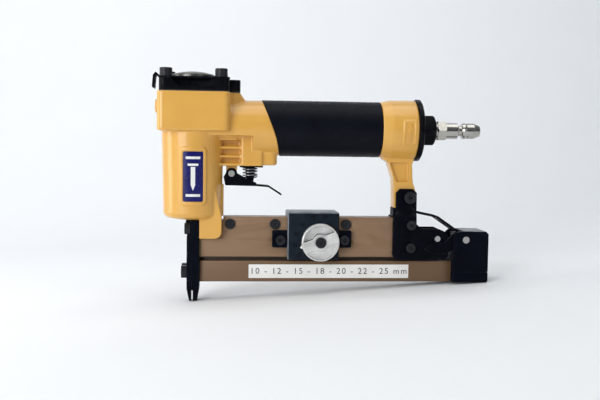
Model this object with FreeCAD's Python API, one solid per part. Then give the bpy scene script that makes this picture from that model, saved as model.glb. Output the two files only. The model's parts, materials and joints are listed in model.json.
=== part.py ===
"""Pneumatic micro pin nailer with a sliding side magazine and a pin-length dial.

Frame: the origin is where the pin leaves the nose, in the middle plane. +Z points up the driver axis,
+X runs back along the magazine and the handle, and -Y is the side that carries the dial and the badge.
All sizes are millimetres.
"""
import FreeCAD, Part
import math
import os

V = FreeCAD.Vector
X_AXIS, Y_AXIS, Z_AXIS = V(1, 0, 0), V(0, 1, 0), V(0, 0, 1)
GAP = 0.05                      # clearance between pieces that slide on flat faces

# ---- driver and cylinder, all on the Z axis ----
STROKE = 53.0
BORE_R = 12.5                   # bore of the cylinder sleeve
SLEEVE_R = 14.5
SLEEVE_Z = (68.0, 145.0)
FLANGE_R = 17.9                 # sleeve flanges that seal in the casting
FLANGES_Z = (SLEEVE_Z[0], 119.0)
CASTING_BORE_R = 18.0
CHAMBER_R = 21.6                # air chamber round the top of the sleeve
PISTON_Z = (136.5, 143.5)
PISTON_R = 12.3
BOSS_R = 5.5
BOSS_Z = 127.0                  # lower end of the piston's boss
BLADE = (1.2, 2.0)              # driver blade, thickness along X and width along Y
BLADE_Z = (STROKE + 0.2, 139.0)
DRIVER_PIN = (0.9, 132.5, 1.0)  # x, z and radius of the cross pin that locks the blade in the piston

# ---- body casting ----
BARREL_R = (21.5, 22.9)         # drafted outside radius at BARREL_Z
BARREL_Z = (66.0, 127.0)
BARREL_FLOOR = 60.8
HEAD_X = (-24.9, 27.0)
HEAD_HALF_Y = 26.0
HEAD_Z = (126.5, 154.6)
HEAD_CORNER = 4.5
CAP_INSET = (1.3, 0.5, 1.2)      # how far the cap stands back at the front, at the rear and at the sides
LOBE_X = 34.5                   # back of the lobe behind the head
LOBE_HALF_Y = 12.0
CAP_HOLE_R = 2.75
SCREW_GRID = 19.7               # cap screws stand this far from the head's centre, both ways
BADGE_X, BADGE_Z = (-6.4, 8.4), (75.3, 111.8)
FRAME_X, FRAME_Z = (-8.6, 10.6), (72.8, 114.8)   # raised frame round the badge

# ---- cap stack ----
GASKET_T = 0.7
CAP_TOP = 164.0
PLATE_T = 1.0
DOME_R, DOME_WALL, DOME_TOP = 16.0, 3.2, 6.0       # radius, and heights above the cap

# ---- handle ----
HANDLE_Z = 129.3
NECK_R = 20.3
CORE_R = 18.2
HANDLE_BORE_R = 14.5
GRIP_R = 20.7
GRIP_END = 139.2
GRIP_FRONT = ((50.6, 150.0), (61.2, 121.5), (64.0, 108.6))      # bent front edge, from the side, as (x, z)
NECK_CUT = (44.0, 123.3)        # in front of this x nothing of the neck hangs below this z
PASSAGE_R, PASSAGE_Z = 9.0, 134.0
REAR_R = 22.3
REAR_X = (146.5, 165.9)
LEG_HALF_Y = 6.5
LEG_SCREW = (162.1, 78.8)       # x and z
RIBS_Z = (122.3, 114.6, 108.2, 102.3)

# ---- inlet ----
FLANGE_X = (REAR_X[1], 169.8)
END_FLANGE_R = 23.2
CAP_HEX = (22.0, 171.8, 182.0)  # across flats, and the x of its faces
SPIGOT_X = 157.0
PLUG_HEX = (14.0, 183.2, 189.8)
PLUG_R = 6.1
PLUG_GROOVE = (3.9, 199.3, 202.6)
PLUG_END = 216.0

# ---- trigger ----
TRIGGER_PIVOT = (28.7, 95.5)
TRIGGER_PIN_R = 2.35
STEM_X = 42.5

# ---- nose ----
NOSE_FRONT_X = -3.8
NOSE_REAR_X = 5.4
LOWER_BOLT_Z = 22.6
CHEEK_Y = (7.4, 14.2)           # cheeks of the casting on each side of the magazine rail
FEED_Z = (25.8, 53.0)           # pins reach the driver channel through this slot

# ---- magazine ----
RAIL_HALF_Y = 8.0
UPPER_X = (NOSE_REAR_X + 0.05, 168.0)
UPPER_Z = (33.8, 63.6)
LOWER_X = (NOSE_REAR_X + 0.25, 195.0)
LOWER_Z = (15.3, 31.1)
WEB_TOP = 38.4
SPRING_Z = 21.3                 # axis of the pusher's rod and spring
PIN_FLOOR = 26.0                # the pins' points rest here
RAIL_SCREWS_X, RAIL_SCREW_Z = (27.9, 61.2, 114.3), 58.4

# ---- dial block ----
BLOCK_X = (70.2, 108.6)
BLOCK_Z = (32.2, 67.7)
BLOCK_HALF_Y = 13.5
DIAL_XZ = (94.5, 45.6)
DIAL_R = 14.0
DIAL_T = 4.0
DIAL_FLOORS = (1.0, 3.4)        # metal left behind the recesses above and below the grip bar
POINTER_R, POINTER_DIP = 15.7, 14.8     # reach of the dial's pointer, and its angle below level
TOOTH_MODULE = 0.7
PINION_TEETH = 16
PITCH_R = TOOTH_MODULE * PINION_TEETH / 2
RACK_X = DIAL_XZ[0] - PITCH_R
RACK_Y = (-11.9, -9.4)          # the rack and the pinion lie between these
RACK_Z = (34.5, 48.9)
EAR_SCREWS_X, EAR_SCREW_Z = (65.2, 112.8), 47.0

# ---- rear bracket, latch and end block ----
TAB_Y = (LEG_HALF_Y, 8.5)
SIDE_Y = (8.05, 10.05)
HOOK_Y = (10.35, 11.85)
LEVER_T = 1.6
LATCH_PIN = (183.2, 48.3)
LATCH_PIN_R = 2.1
LATCH_PIVOT = (204.8, 47.6)
END_X = (195.0, 222.0)
END_Z = (15.5, 54.0)
END_HALF_Y = 13.5
SIDE_SCREWS = ((163.4, 58.1), (163.1, 41.0))     # screws that hold the bracket to the rail, as (x, z)


# ---------------------------------------------------------------- shapes

def box(x, y, z):
    """A block between pairs of limits along each axis."""
    return Part.makeBox(x[1] - x[0], y[1] - y[0], z[1] - z[0], V(x[0], y[0], z[0]))


def rod(axis, at, radius, length):
    return Part.makeCylinder(radius, length, V(*at), axis)


def tube(axis, at, outer, inner, length):
    return rod(axis, at, outer, length).cut(rod(axis, at, inner, length))


def join(shapes):
    shapes = list(shapes)
    return shapes[0].multiFuse(shapes[1:]).removeSplitter() if len(shapes) > 1 else shapes[0]


def carve(shape, tools):
    tools = list(tools)
    return shape.cut(tools) if tools else shape


def group(shapes):
    return Part.makeCompound(list(shapes))


def both_sides(shape):
    """The shape and its mirror image in the middle plane, as separate solids."""
    return group([shape, shape.mirror(V(0, 0, 0), Y_AXIS)])


def outline(points, lift):
    """Closed polygon through 3D points, pushed along lift."""
    return Part.Face(Part.makePolygon(points + points[:1])).extrude(lift)


def side_plate(points, y0, y1):
    """Plate with an (x, z) outline, between two y values."""
    return outline([V(x, y0, z) for x, z in points], V(0, y1 - y0, 0))


def turned(axis, at, profile):
    """Solid of revolution. The profile is (radius, distance along the axis) points, closed on the axis."""
    side = X_AXIS if axis != X_AXIS else Z_AXIS
    points = [V(*at) + side * r + axis * h for r, h in profile]
    return Part.Face(Part.makePolygon(points + points[:1])).revolve(V(*at), axis, 360)


def upright_block(x, half_y, z, corner):
    """Block whose four vertical edges are rounded."""
    return round_edges(box(x, (-half_y, half_y), z), corner, lambda e: runs_along(e, Z_AXIS))


def runs_along(edge, axis):
    a, b = edge.Vertexes[0].Point, edge.Vertexes[-1].Point
    return (b - a).Length > 1e-6 and abs((b - a).normalize().dot(axis)) > 0.999


def round_edges(shape, radius, choose):
    edges = [e for e in shape.Edges if choose(e)]
    return shape.makeFillet(radius, edges) if edges else shape


def bevel_edges(shape, size, choose):
    edges = [e for e in shape.Edges if choose(e)]
    return shape.makeChamfer(size, edges) if edges else shape


def level_edges(z, tolerance=0.01):
    """Chooses the edges that lie at one height."""
    return lambda e: abs(e.BoundBox.ZMin - z) < tolerance and abs(e.BoundBox.ZMax - z) < tolerance


def bent_strip(points, thickness, y0, y1):
    """Sheet metal that follows (x, z) points, with round bends."""
    half = thickness / 2
    pieces = [rod(Y_AXIS, (x, y0, z), half, y1 - y0) for x, z in points]
    for (xa, za), (xb, zb) in zip(points, points[1:]):
        run = math.hypot(xb - xa, zb - za)
        nx, nz = -(zb - za) / run * half, (xb - xa) / run * half
        corners = [(xa + nx, za + nz), (xb + nx, zb + nz), (xb - nx, zb - nz), (xa - nx, za - nz)]
        pieces.append(side_plate(corners, y0, y1))
    return join(pieces)


def hexagon(axis, at, across_flats, length):
    """Hexagonal bar with two of its flats facing along the first cross direction."""
    radius = across_flats / 2 / math.cos(math.pi / 6)
    first = {"x": Z_AXIS, "y": X_AXIS, "z": X_AXIS}["xyz"[[X_AXIS, Y_AXIS, Z_AXIS].index(axis)]]
    second = axis.cross(first)
    points = []
    for k in range(6):
        angle = math.radians(30 + 60 * k)
        points.append(V(*at) + first * (radius * math.cos(angle)) + second * (radius * math.sin(angle)))
    return outline(points, axis * length)


def aim(shape, at, direction):
    """Moves a shape built up the Z axis so that Z points along direction."""
    shape = shape.copy()
    shape.Placement = FreeCAD.Placement(V(*at), FreeCAD.Rotation(Z_AXIS, direction)).multiply(shape.Placement)
    return shape


def socket_screw(thread_r, head_r, head_h, length):
    """Socket cap screw standing on z = 0 with its thread below."""
    head = bevel_edges(rod(Z_AXIS, (0, 0, 0), head_r, head_h), 0.4, level_edges(head_h))
    socket = hexagon(Z_AXIS, (0, 0, head_h * 0.45), thread_r * 1.6, head_h)
    return carve(join([head, rod(Z_AXIS, (0, 0, -length), thread_r, length)]), [socket])


def o_ring(axis, at, middle_r, section_r):
    return Part.makeTorus(middle_r, section_r, V(*at), axis)


def coil_spring(axis, at, middle_r, wire_r, length, turns):
    """Round-wire helical spring between two end planes."""
    height = length - 2 * wire_r
    helix = Part.makeHelix(height / turns, height, middle_r)
    section = Part.Wire(Part.makeCircle(wire_r, V(middle_r, 0, 0), Y_AXIS))
    coil = Part.Wire(helix.Edges).makePipeShell([section], True, True)
    coil.translate(V(0, 0, wire_r))
    return aim(coil, at, axis)


def wide_spring(at, middle_r, wire_r, length, turns, stretches_per_turn):
    """Round-wire spring about the Z axis with few turns, made of short straight stretches."""
    height = length - 2 * wire_r
    start = Part.makeCircle(wire_r, V(middle_r, 0, wire_r), V(0, 2 * math.pi * turns * middle_r, height))
    count = round(turns * stretches_per_turn)
    sections = []
    for k in range(count + 1):
        section = Part.Wire(start.copy())
        section.rotate(V(0, 0, 0), Z_AXIS, 360 * turns * k / count)
        section.translate(V(*at) + V(0, 0, height * k / count))
        sections.append(section)
    return Part.makeLoft(sections, True, True)


def gear(centre, teeth, y0, y1, backlash=0.12):
    """Spur gear with involute flanks about a Y axis, centred on (x, z)."""
    pitch_r = TOOTH_MODULE * teeth / 2
    base_r = pitch_r * math.cos(math.radians(20))
    tip_r, root_r = pitch_r + 0.8 * TOOTH_MODULE, pitch_r - 1.1 * TOOTH_MODULE
    half_tooth = math.pi / 2 / teeth - backlash / pitch_r / 2

    def involute(radius):
        a = math.acos(min(1.0, base_r / radius))
        return math.tan(a) - a

    radii = [base_r + (tip_r - base_r) * k / 4 for k in range(5)]
    flank = [(root_r, half_tooth + involute(pitch_r))]
    flank += [(r, half_tooth + involute(pitch_r) - involute(r)) for r in radii]
    points = []
    for tooth in range(teeth):
        middle = 2 * math.pi * tooth / teeth
        for r, a in flank:
            points.append((centre[0] + r * math.cos(middle - a), centre[1] + r * math.sin(middle - a)))
        for r, a in reversed(flank):
            points.append((centre[0] + r * math.cos(middle + a), centre[1] + r * math.sin(middle + a)))
    return side_plate(points, y0, y1)


# ---------------------------------------------------------------- body and cylinder

def barrel_skin(extra):
    """The drafted outside of the barrel, grown by extra."""
    height = BARREL_Z[1] - BARREL_Z[0]
    return Part.makeCone(BARREL_R[0] + extra, BARREL_R[1] + extra, height, V(0, 0, BARREL_Z[0]))


def front_pad(x, z, corner, extra):
    """Rounded rectangle on the -Y side of the barrel, standing extra above its skin."""
    prism = box(x, (-30, -5), z)
    prism = round_edges(prism, corner, lambda e: runs_along(e, Y_AXIS))
    return prism.common(barrel_skin(extra))


def badge_frame():
    outer = front_pad(FRAME_X, FRAME_Z, 3.2, 0.9)
    return carve(outer, [box(BADGE_X, (-30, 0), BADGE_Z)])


def barrel():
    dish = turned(Z_AXIS, (0, 0, 0), [
        (0, BARREL_FLOOR), (8, BARREL_FLOOR), (17.0, 62.2), (20.0, 63.6), (BARREL_R[0], BARREL_Z[0]),
        (BARREL_R[1], BARREL_Z[1]), (BARREL_R[1], BARREL_Z[1] + 4), (0, BARREL_Z[1] + 4)])
    ridge = box((18.0, 23.0), (-4, 4), (64.0, 87.0))
    return [dish, ridge]


def head_block():
    block = upright_block(HEAD_X, HEAD_HALF_Y, HEAD_Z, HEAD_CORNER)
    block = round_edges(block, 1.4, level_edges(HEAD_Z[0]))
    lobe = upright_block((HEAD_X[1] - 12, LOBE_X), LOBE_HALF_Y, (120.0, HEAD_Z[1]), 5.0)
    front_boss = rod(X_AXIS, (HEAD_X[0] - 2.8, 0, 144.5), 5.2, 6)
    return [block, lobe, bevel_edges(front_boss, 0.8, lambda e: e.BoundBox.XMax < HEAD_X[0] - 2.7)]


def grip_line(side):
    """Half space in front of (-1) or behind (+1) the bent front edge of the grip."""
    (xa, za), (xb, zb), (xc, zc) = GRIP_FRONT
    top, bottom = 200.0, 60.0
    x_top = xa + (xb - xa) / (zb - za) * (top - za)
    x_bottom = xc + (xc - xb) / (zc - zb) * (bottom - zc)
    far = 400.0 * side
    return side_plate([(x_top, top), (x_top + far, top), (x_bottom + far, bottom), (x_bottom, bottom),
                       (xb, zb)], -60, 60)


def handle_shell():
    cut_x, cut_z = NECK_CUT
    neck = rod(X_AXIS, (10, 0, HANDLE_Z), NECK_R, 60).common(grip_line(-1))
    neck = neck.cut(box((0, cut_x), (-30, 30), (90, cut_z)))
    core = rod(X_AXIS, (cut_x, 0, HANDLE_Z), CORE_R, REAR_X[1] - cut_x)
    rear = turned(X_AXIS, (0, 0, HANDLE_Z), [
        (0, GRIP_END), (GRIP_R, GRIP_END), (REAR_R - 0.2, REAR_X[0]), (REAR_R + 0.1, 158),
        (REAR_R, REAR_X[1] - 1), (REAR_R - 1, REAR_X[1]), (0, REAR_X[1])])
    brow = side_plate([(26, HEAD_Z[1]), (LOBE_X, HEAD_Z[1]), (LOBE_X + 3.8, 149.0), (26, 147)], -8, 8)
    return [neck, core, rear, brow]


def valve_housing():
    foot = RIBS_Z[-1] - 1
    ribs = [box((17, 35.5), (-10.5, 10.5), (z - 1, z + 1)) for z in RIBS_Z]
    web = box((17, 36), (-5, 5), (foot, 125))
    tower = upright_block((35.2, 51.6), 11.5, (foot, 125), 2.0)
    lobe = upright_block((46, 62.3), 9.5, (101.8, 118), 4.5)
    lobe = round_edges(lobe, 2.0, level_edges(101.8)).common(grip_line(-1))
    boss = join([rod(Y_AXIS, (TRIGGER_PIVOT[0], -4.5, TRIGGER_PIVOT[1]), 4.0, 9),
                 box((TRIGGER_PIVOT[0] - 4, TRIGGER_PIVOT[0] + 4), (-4.5, 4.5), (TRIGGER_PIVOT[1], 103))])
    return ribs + [web, tower, lobe, boss]


def leg():
    rear_x = REAR_X[1]
    column = side_plate([
        (141.7, 112), (141.7, 107.3), (145.8, 105.0), (149.9, 92.0), (150.5, 71.0), (167.2, 71.0),
        (166.6, 85.0), (164.6, 90.6), (163.9, 103.4), (rear_x - 0.7, 107.5), (rear_x, 112)],
        -LEG_HALF_Y, LEG_HALF_Y)
    pocket = side_plate([(147.3, 105.0), (161.4, 105.0), (161.5, 90.6), (152.2, 90.6)], -LEG_HALF_Y - 1,
                        2.6 - LEG_HALF_Y)
    return carve(column, [pocket, pocket.mirror(V(0, 0, 0), Y_AXIS)])


def nose_cheeks():
    """Two cheeks under the barrel that hold the nose and straddle the magazine rail."""
    front, back, foot = NOSE_REAR_X, 21.7, 47.8
    cheek = side_plate([(front, foot), (back, foot), (back, 64.0), (17.0, 84.0), (front, 84.0)], *CHEEK_Y)
    cheek = round_edges(cheek, 5.0, lambda e: runs_along(e, Y_AXIS) and e.BoundBox.XMin > back - 0.1
                        and e.BoundBox.ZMax < foot + 0.1)
    return [cheek, cheek.mirror(V(0, 0, 0), Y_AXIS)]


def oil_frame():
    """Raised rectangular frame on the side of the rear barrel."""
    outer = box((154.3, 163.3), (-30, 0), (118.4, 135.8))
    inner = box((155.1, 162.5), (-30, 0), (119.3, 134.9))
    return carve(outer, [inner]).common(rod(X_AXIS, (140, 0, HANDLE_Z), REAR_R + 0.6, 28))


def air_passages():
    tools = [
        rod(Z_AXIS, (0, 0, SLEEVE_Z[0]), CASTING_BORE_R, 60),
        rod(Z_AXIS, (0, 0, 126.4), CHAMBER_R, 40),
        rod(Z_AXIS, (0, 0, 50), 4.0, 25),
        rod(X_AXIS, (21, 0, PASSAGE_Z), PASSAGE_R, 35),
        rod(X_AXIS, (52, 0, HANDLE_Z), HANDLE_BORE_R, 130),
        rod(X_AXIS, (SPIGOT_X - 1, 0, HANDLE_Z), 16.0, 20),
        rod(Z_AXIS, (STEM_X, 0, 90), 5.5, 38),
        rod(Y_AXIS, (TRIGGER_PIVOT[0], -20, TRIGGER_PIVOT[1]), TRIGGER_PIN_R, 40),
        rod(Y_AXIS, (LEG_SCREW[0], -20, LEG_SCREW[1]), 2.1, 40),
    ]
    tools += [rod(Z_AXIS, (x, y, 138), 2.6, 40) for x, y in cap_screw_places()]
    tools += [rod(X_AXIS, (0, s * 10.8, 55.0), 2.5, 18.5) for s in (-1, 1)]
    return tools


def cap_screw_places():
    middle = (HEAD_X[0] + HEAD_X[1]) / 2
    return [(middle + sx * SCREW_GRID, sy * SCREW_GRID) for sx in (-1, 1) for sy in (-1, 1)]


def body_casting():
    solid = join(barrel() + head_block() + handle_shell() + valve_housing() + [leg()] + nose_cheeks()
                 + [badge_frame(), oil_frame()])
    return carve(solid, air_passages())


def badge_plate():
    x, z = (BADGE_X[0] + 0.2, BADGE_X[1] - 0.2), (BADGE_Z[0] + 0.2, BADGE_Z[1] - 0.2)
    return front_pad(x, z, 1.2, 0.7).cut(barrel_skin(0))


def cap_outline(z, grow=0.0):
    front, rear, side = (inset - grow for inset in CAP_INSET)
    return upright_block((HEAD_X[0] + front, HEAD_X[1] - rear), HEAD_HALF_Y - side, z, HEAD_CORNER - 0.5)


def cap_gasket():
    top = HEAD_Z[1] + GASKET_T
    lobe = upright_block((HEAD_X[1] - 12, LOBE_X), LOBE_HALF_Y, (HEAD_Z[1], top), 5.0)
    holes = [rod(Z_AXIS, (x, y, 150), CAP_HOLE_R, 10) for x, y in cap_screw_places()]
    holes.append(rod(Z_AXIS, (0, 0, 150), CHAMBER_R, 10))
    return carve(join([cap_outline((HEAD_Z[1], top)), lobe]), holes)


def cylinder_cap():
    bottom = HEAD_Z[1] + GASKET_T
    lobe = upright_block((HEAD_X[1] - 12, LOBE_X + 0.2), LOBE_HALF_Y, (bottom, CAP_TOP - 0.2), 5.0)
    skirt = rod(Z_AXIS, (0, 0, 150.2), 20.6, 8)
    scoop = side_plate([
        (-15.0, 164.6), (-11.0, 159.3), (-8.5, 158.1), (8.0, 158.1), (10.5, 159.3), (15.0, 164.6)], -40, -20)
    tools = [rod(Z_AXIS, (x, y, 145), CAP_HOLE_R, 30) for x, y in cap_screw_places()]
    tools += [scoop, scoop.mirror(V(0, 0, 0), Y_AXIS)]
    tools += [rod(Z_AXIS, (0, 0, 140), 18.1, 20.2), rod(Z_AXIS, (0, 0, 150), 5.0, 20)]
    tools += [rod(Z_AXIS, (0, 0, CAP_TOP - 0.8), DOME_R + 1.6, 2)]
    return carve(join([cap_outline((bottom, CAP_TOP)), lobe, skirt]), tools)


def exhaust_deflector():
    z = (CAP_TOP, CAP_TOP + PLATE_T)
    plate = cap_outline(z, 0.4)
    path = [(HEAD_X[0] + 2, CAP_TOP + 0.7), (-26.8, 168.0), (-28.1, 166.4), (-28.8, 158.2)]
    lip = bent_strip(path, 1.4, -9, 9)
    holes = [rod(Z_AXIS, (x, y, 160), CAP_HOLE_R, 10) for x, y in cap_screw_places()]
    return carve(join([plate, lip]), holes + [rod(Z_AXIS, (0, 0, 160), DOME_R + 0.1, 10)])


def exhaust_dome():
    """Pressed steel cup with a low crown, held by the rim at its foot."""
    gauge, foot, shoulder = 0.9, CAP_TOP - 0.75, DOME_R - 1.2
    drop = 2.0                  # from the middle of the crown to its shoulder
    crown = []
    for k in range(9):
        radius = shoulder * k / 8
        crown.append((radius, CAP_TOP + DOME_TOP - drop * (radius / shoulder) ** 2))
    inside = [(r * (DOME_R - 1.4) / DOME_R, z - gauge) for r, z in reversed(crown)]
    return turned(Z_AXIS, (0, 0, 0), crown + [
        (DOME_R, CAP_TOP + DOME_WALL), (DOME_R, foot + 0.7), (DOME_R + 1.4, foot + 0.7), (DOME_R + 1.4, foot),
        (DOME_R - 1.4, foot), (DOME_R - 1.4, CAP_TOP + DOME_WALL - 0.6)] + inside)


def cap_screws():
    screw = socket_screw(2.5, 4.5, 5.0, 26)
    return group(aim(screw, (x, y, CAP_TOP + PLATE_T + 1.1), Z_AXIS) for x, y in cap_screw_places())


def cap_washers():
    return group(tube(Z_AXIS, (x, y, CAP_TOP + PLATE_T), 4.65, 2.7, 1.1) for x, y in cap_screw_places())


def head_valve():
    bottom, top = SLEEVE_Z[1] + GAP, 154.5
    body = turned(Z_AXIS, (0, 0, 0), [
        (0, bottom), (15.5, bottom), (15.5, 147.6), (17.95, 148.4), (17.95, top), (0, top)])
    groove = tube(Z_AXIS, (0, 0, 151.0), 19, 16.4, 1.8)
    return carve(body, [groove, rod(Z_AXIS, (0, 0, 149), 13.6, 10)])


def cylinder_sleeve():
    length = SLEEVE_Z[1] - SLEEVE_Z[0]
    body = rod(Z_AXIS, (0, 0, SLEEVE_Z[0]), SLEEVE_R, length)
    flanges = [rod(Z_AXIS, (0, 0, z), FLANGE_R, 5.6) for z in FLANGES_Z]
    grooves = [tube(Z_AXIS, (0, 0, z + 1.8), 19, 16.2, 2.0) for z in FLANGES_Z]
    ports = []
    for k in range(4):
        angle = math.radians(45 + 90 * k)
        ports.append(rod(V(math.cos(angle), math.sin(angle), 0), (0, 0, 97), 1.2, 20))
    return carve(join([body] + flanges), grooves + ports + [rod(Z_AXIS, (0, 0, 60), BORE_R, 100)])


def sleeve_seals():
    return group(o_ring(Z_AXIS, (0, 0, z + 2.8), 17.05, 0.82) for z in FLANGES_Z)


def bumper():
    bottom, top = SLEEVE_Z[0], 82.4
    return turned(Z_AXIS, (0, 0, 0), [
        (6.4, bottom), (12.2, bottom), (12.2, 76), (11.0, 79), (11.6, top), (6.4, top)])


def piston():
    bottom, top = PISTON_Z
    body = turned(Z_AXIS, (0, 0, 0), [
        (0, BOSS_Z), (BOSS_R - 0.6, BOSS_Z), (BOSS_R, BOSS_Z + 0.6), (BOSS_R, bottom), (PISTON_R, bottom),
        (PISTON_R, top - 0.5), (PISTON_R - 0.5, top), (0, top)])
    groove = tube(Z_AXIS, (0, 0, 139.0), 14, 10.6, 2.0)
    flats = [box((s * 6 - 1.5, s * 6 + 1.5), (-8, 8), (BOSS_Z - 1, BOSS_Z + 5)) for s in (-1, 1)]
    slot = box((-BLADE[0] / 2, BLADE[0] / 2), (-BLADE[1] / 2, BLADE[1] / 2), (BOSS_Z - 1, BLADE_Z[1]))
    return carve(body, [groove, slot, driver_pin_hole()] + flats)


def piston_ring():
    return o_ring(Z_AXIS, (0, 0, 140.0), 11.45, 0.84)


def driver_blade():
    """Flat blade with a notch in its back edge that the cross pin locks."""
    blade = box((-BLADE[0] / 2, BLADE[0] / 2), (-BLADE[1] / 2, BLADE[1] / 2), BLADE_Z)
    return carve(blade, [driver_pin_hole()])


def driver_pin_hole():
    x, z, radius = DRIVER_PIN
    return rod(Y_AXIS, (x, -9, z), radius, 18)


def driver_pin():
    x, z, radius = DRIVER_PIN
    return rod(Y_AXIS, (x, -5.2, z), radius, 10.4)


def head_valve_seal():
    return o_ring(Z_AXIS, (0, 0, 151.9), 17.2, 0.8)


def head_valve_spring():
    return wide_spring((0, 0, 154.6), 15.4, 0.6, 5.5, 2.5, 24)


# ---------------------------------------------------------------- trigger

def trigger():
    px, pz = TRIGGER_PIVOT
    cheek = join([
        side_plate([(24.1, 87.0), (22.9, 92.5), (24.5, pz), (px + 4.1, pz), (39.8, 91.6), (47.2, 88.4),
                    (47.2, 86.4)], 4.9, 6.1),
        rod(Y_AXIS, (px, 4.9, pz), 4.15, 1.2)])
    floor = bent_strip([(24.6, 87.3), (47.5, 86.9), (56.2, 86.2), (65.4, 80.3)], 1.2, -6.1, 6.1)
    body = join([cheek, cheek.mirror(V(0, 0, 0), Y_AXIS), floor])
    return carve(body, [rod(Y_AXIS, (px, -10, pz), TRIGGER_PIN_R + 0.06, 20)])


def trigger_pin():
    px, pz = TRIGGER_PIVOT
    return rod(Y_AXIS, (px, -7.6, pz), TRIGGER_PIN_R - 0.01, 15.2)


def valve_guide():
    plate = upright_block((34.8, 51.8), 8.5, (100.2, 101.3), 2.0)
    bush = rod(Z_AXIS, (STEM_X, 0, 101.2), 5.4, 11)
    return carve(join([plate, bush]), [rod(Z_AXIS, (STEM_X, 0, 90), 3.75, 40)])


def valve_stem():
    tip = [(2.8 * math.sin(math.radians(a)), 90.8 - 2.8 * math.cos(math.radians(a))) for a in (0, 30, 60, 90)]
    stem = turned(Z_AXIS, (STEM_X, 0, 0), tip + [
        (2.9, 92.3), (4.9, 92.3), (4.9, 92.9), (3.2, 92.9), (3.6, 99.4), (3.6, 112.3), (4.9, 112.3),
        (4.9, 114.0), (2.2, 114.0), (2.2, 117.5), (0, 117.5)])
    return carve(stem, [tube(Z_AXIS, (STEM_X, 0, 105.2), 5, 2.35, 1.5)])


def stem_seal():
    return o_ring(Z_AXIS, (STEM_X, 0, 105.95), 3.05, 0.66)


def trigger_spring():
    return wide_spring((STEM_X, 0, 93.0), 5.2, 0.5, 7.1, 3.5, 16)


# ---------------------------------------------------------------- handle end

def grip_sleeve():
    sleeve = tube(X_AXIS, (40, 0, HANDLE_Z), GRIP_R, CORE_R + 0.05, GRIP_END - 0.1 - 40).common(grip_line(1))
    return sleeve


def inlet_end_cap():
    across, x0, x1 = CAP_HEX
    radius, (front, back) = END_FLANGE_R, FLANGE_X
    flange = turned(X_AXIS, (0, 0, HANDLE_Z), [
        (0, front), (radius - 0.5, front), (radius, front + 0.5), (radius, back - 0.8), (radius - 1.2, back),
        (10.6, back), (10.6, x0 + 1), (0, x0 + 1)])
    spigot = rod(X_AXIS, (SPIGOT_X, 0, HANDLE_Z), 15.9, 12)
    flats = hexagon(X_AXIS, (x0, 0, HANDLE_Z), across, x1 - x0)
    flats = flats.common(turned(X_AXIS, (0, 0, HANDLE_Z), [
        (0, x0), (11.8, x0), (13.0, x0 + 0.9), (13.0, x1 - 4.4), (12.2, x1 - 2.8), (10.6, x1 - 1.3),
        (8.4, x1 - 0.3), (6.8, x1), (0, x1)]))
    groove = tube(X_AXIS, (SPIGOT_X + 4, 0, HANDLE_Z), 17, 14.3, 2.0)
    return carve(join([flange, spigot, flats]), [groove, rod(X_AXIS, (150, 0, HANDLE_Z), 6.05, 60)])


def end_cap_seal():
    return o_ring(X_AXIS, (SPIGOT_X + 5, 0, HANDLE_Z), 15.1, 0.8)


def air_plug():
    across, x0, x1 = PLUG_HEX
    groove_r, g0, g1 = PLUG_GROOVE
    nut = hexagon(X_AXIS, (x0, 0, HANDLE_Z), across, x1 - x0)
    nut = nut.common(turned(X_AXIS, (0, 0, HANDLE_Z), [
        (0, x0), (7.2, x0), (8.1, x0 + 0.6), (8.1, x1 - 0.6), (7.2, x1), (0, x1)]))
    stem = turned(X_AXIS, (0, 0, HANDLE_Z), [
        (0, 172), (6.0, 172), (6.0, x0 + 1), (PLUG_R, x1 - 1), (PLUG_R, g0 - 0.6), (groove_r, g0 + 0.6),
        (groove_r, g1 - 0.4), (PLUG_R - 0.5, g1), (PLUG_R, g1 + 1.2), (PLUG_R, g1 + 2.2),
        (PLUG_R - 0.4, g1 + 3.4), (PLUG_R - 0.2, g1 + 4.2), (PLUG_R - 0.2, PLUG_END - 4.5), (4.2, PLUG_END),
        (0, PLUG_END)])
    return carve(join([nut, stem]), [rod(X_AXIS, (160, 0, HANDLE_Z), 3.2, 80)])


# ---------------------------------------------------------------- nose

def nose_half(x_inner, x_outer, width):
    """One plate of the nose, from the tip up to the barrel, narrowing at its foot."""
    profile = [(-3.2, 0), (3.2, 0), (5.0, 2.0), (width, 16.4), (width, BARREL_FLOOR), (-width, BARREL_FLOOR),
               (-width, 16.4), (-5.0, 2.0)]
    return outline([V(x_inner, y, z) for y, z in profile], V(x_outer - x_inner, 0, 0))


def nose_tools():
    half_y = BLADE[1] / 2 + 0.15
    channel = box((-BLADE[0] / 2 - 0.15, BLADE[0] / 2 + 0.15), (-half_y, half_y), (-1, 70))
    relief = box((-0.7, 0.7), (-10, 10), (-1, 8.6))
    line = box((-10, 10), (-20, 20), (16.2, 16.6))
    return [channel, relief], line


def nose_front_plate():
    plate = nose_half(-0.05, NOSE_FRONT_X, 11.0)
    face = NOSE_FRONT_X
    taper = side_plate([(face - 1, 9.5), (face, 9.5), (-2.1, 0), (-2.1, -1), (face - 1, -1)], -20, 20)
    ears = box((NOSE_FRONT_X - 1, -1.2), (5.8, 20), (49.4, 70))
    tools, line = nose_tools()
    scribe = line.cut(box((NOSE_FRONT_X + 0.4, 10), (-10.6, 10.6), (10, 20)))
    wide = nose_half(-0.05, -1.2, CHEEK_Y[1]).common(box((-5, 1), (-20, 20), (47.8, 70)))
    tools += [taper, ears, ears.mirror(V(0, 0, 0), Y_AXIS), scribe]
    tools += [rod(X_AXIS, (-10, s * 10.8, 55.0), 2.6, 20) for s in (-1, 1)]
    tools += [rod(X_AXIS, (-10, s * 6.2, LOWER_BOLT_Z), 2.1, 20) for s in (-1, 1)]
    return carve(join([plate, wide]), tools)


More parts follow.
